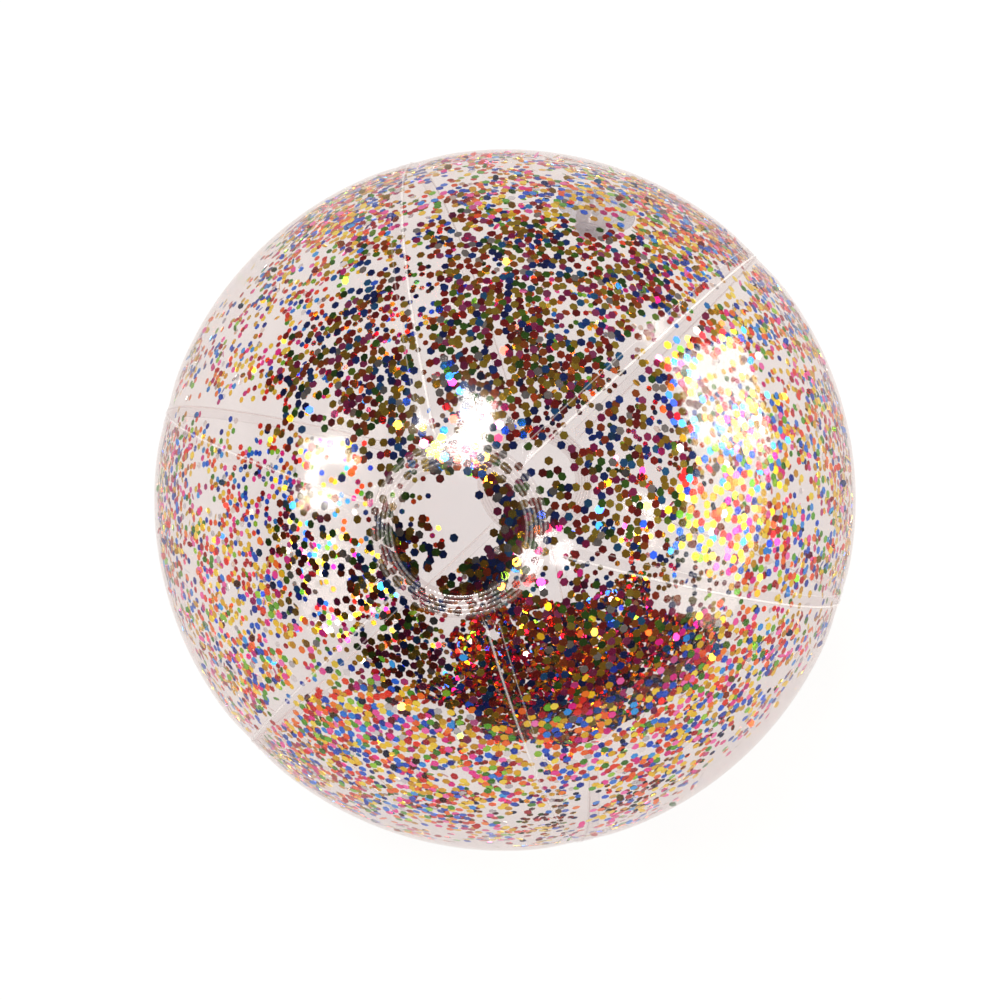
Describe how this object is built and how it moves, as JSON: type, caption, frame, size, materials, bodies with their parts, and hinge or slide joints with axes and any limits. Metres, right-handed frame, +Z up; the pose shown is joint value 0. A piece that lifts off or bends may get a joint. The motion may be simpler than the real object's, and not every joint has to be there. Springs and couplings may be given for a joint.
{
  "type": "beach ball",
  "caption": "Clear inflatable beach ball of lapped film panels with round end caps, loose foil glitter inside and a fold-in valve with a strapped plug.",
  "frame": {"origin": "on the floor, at the middle of the flat that the ball lies on, under the ball's centre", "axes": "+Z up; the front pole looks along -Y and up; the valve looks along +Y"},
  "size_m": [0.2704, 0.2738, 0.2692],
  "materials": {
    "film": "clear flexible vinyl film, high gloss",
    "end_cap": "clear flexible vinyl film with pressed weld ridges",
    "valve": "soft moulded translucent vinyl",
    "foil_gold": "coloured metallised foil",
    "foil_blue": "coloured metallised foil",
    "foil_pink": "coloured metallised foil",
    "foil_green": "coloured metallised foil",
    "foil_red": "coloured metallised foil",
    "foil_silver": "coloured metallised foil",
    "glitter_mix": "loose foil flakes of mixed colours"
  },
  "bodies": {
    "ball": {"panel_1": "film", "panel_2": "film", "panel_3": "film", "panel_4": "film", "panel_5": "film", "panel_6": "film", "end_cap_front": "end_cap", "end_cap_rear": "end_cap", "valve_flange": "valve", "valve_boot": "valve", "flake_gold_1": "foil_gold", "flake_gold_2": "foil_gold", "flake_gold_3": "foil_gold", "flake_gold_4": "foil_gold", "flake_gold_5": "foil_gold", "flake_gold_6": "foil_gold", "flake_gold_7": "foil_gold", "flake_blue_1": "foil_blue", "flake_blue_2": "foil_blue", "flake_blue_3": "foil_blue", "flake_blue_4": "foil_blue", "flake_blue_5": "foil_blue", "flake_blue_6": "foil_blue", "flake_blue_7": "foil_blue", "flake_pink_1": "foil_pink", "flake_pink_2": "foil_pink", "flake_pink_3": "foil_pink", "flake_pink_4": "foil_pink", "flake_pink_5": "foil_pink", "flake_pink_6": "foil_pink", "flake_pink_7": "foil_pink", "flake_green_1": "foil_green", "flake_green_2": "foil_green", "flake_green_3": "foil_green", "flake_green_4": "foil_green", "flake_green_5": "foil_green", "flake_green_6": "foil_green", "flake_green_7": "foil_green", "flake_red_1": "foil_red", "flake_red_2": "foil_red", "flake_red_3": "foil_red", "flake_red_4": "foil_red", "flake_red_5": "foil_red", "flake_red_6": "foil_red", "flake_red_7": "foil_red", "flake_silver_1": "foil_silver", "flake_silver_2": "foil_silver", "flake_silver_3": "foil_silver", "flake_silver_4": "foil_silver", "flake_silver_5": "foil_silver", "flake_silver_6": "foil_silver", "flake_silver_7": "foil_silver", "glitter_heap": "glitter_mix"},
    "valve_stem": {"valve_stem": "valve"},
    "plug": {"valve_plug": "valve", "plug_strap": "valve"},
    "check_flap": {"check_flap": "valve"}
  },
  "joints": [
    {"name": "stem_slide", "type": "slide", "parent": "ball", "child": "valve_stem", "axis": [0, 1, 0], "range_m": [0, 0.012], "deforming": ["valve_boot"]},
    {"name": "plug_hinge", "type": "hinge", "parent": "valve_stem", "child": "plug", "pos_m": [0, 0.1378, 0.12327], "axis": [-1, 0, 0], "range_deg": [0, 150]},
    {"name": "flap_hinge", "type": "hinge", "parent": "valve_stem", "child": "check_flap", "pos_m": [0, 0.1217, 0.13927], "axis": [-1, 0, 0], "range_deg": [0, 70], "stiffness_Nm_per_rad": 0.00002}
  ]
}
